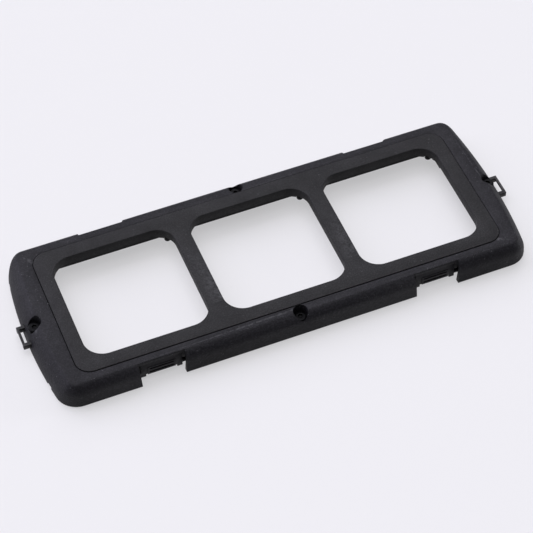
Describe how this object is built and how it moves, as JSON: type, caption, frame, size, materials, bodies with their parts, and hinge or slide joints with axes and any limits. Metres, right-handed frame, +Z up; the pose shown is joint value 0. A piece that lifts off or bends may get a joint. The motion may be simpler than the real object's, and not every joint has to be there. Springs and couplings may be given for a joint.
{
  "type": "negative carrier",
  "caption": "Hinged film carrier: a moulded cover with an inlaid face plate and square picture windows over a base frame, with press latches and end keepers",
  "frame": {"origin": "on the table under the middle of the carrier", "axes": "X along the film, Y from the latch side to the hinge side, Z up"},
  "size_m": [0.2286, 0.0834, 0.0127],
  "materials": {
    "moulded": "moulded black plastic, fine satin grain",
    "grained": "black plastic with a fine matte grain",
    "blackened": "blackened sheet metal, satin",
    "screw_steel": "turned steel, blackened all over, satin",
    "pin_black": "turned pin, blackened, satin",
    "pin_steel": "ground steel rod",
    "spring_steel": "spring temper strip",
    "rail_metal": "blackened strip, polished on top by film",
    "base_plastic": "moulded black plastic",
    "latch_plastic": "moulded black plastic, ribbed thumb face",
    "pad_rubber": "soft black rubber"
  },
  "bodies": {
    "base": {"base_frame": "base_plastic", "film_rail_near": "rail_metal", "film_rail_far": "rail_metal", "latch_spring_left": "spring_steel", "latch_spring_right": "spring_steel", "hinge_pin_left": "pin_steel", "hinge_pin_right": "pin_steel", "foot_pad_near_left": "pad_rubber", "foot_pad_far_left": "pad_rubber", "foot_pad_near_right": "pad_rubber", "foot_pad_far_right": "pad_rubber"},
    "lid": {"cover_shell": "moulded", "face_plate": "grained", "pressure_frame": "blackened", "cover_screw_near": "screw_steel", "cover_screw_far": "screw_steel", "cover_screw_left": "screw_steel", "cover_screw_right": "screw_steel", "register_pin_1": "pin_black", "register_pin_2": "pin_black", "register_pin_3": "pin_black", "keeper_left": "blackened", "keeper_right": "blackened"},
    "left_latch": {"latch_left": "latch_plastic"},
    "right_latch": {"latch_right": "latch_plastic"}
  },
  "joints": [
    {"name": "lid_hinge", "type": "hinge", "parent": "base", "child": "lid", "pos_m": [0, 0.0396, 0.0042], "axis": [-1, 0, 0], "range_deg": [0, 100]},
    {"name": "left_latch_press", "type": "slide", "parent": "base", "child": "left_latch", "axis": [0, 1, 0], "range_m": [0, 0.0012], "stiffness_N_per_m": 200, "deforming": ["latch_spring_left"]},
    {"name": "right_latch_press", "type": "slide", "parent": "base", "child": "right_latch", "axis": [0, 1, 0], "range_m": [0, 0.0012], "stiffness_N_per_m": 200, "deforming": ["latch_spring_right"]}
  ]
}
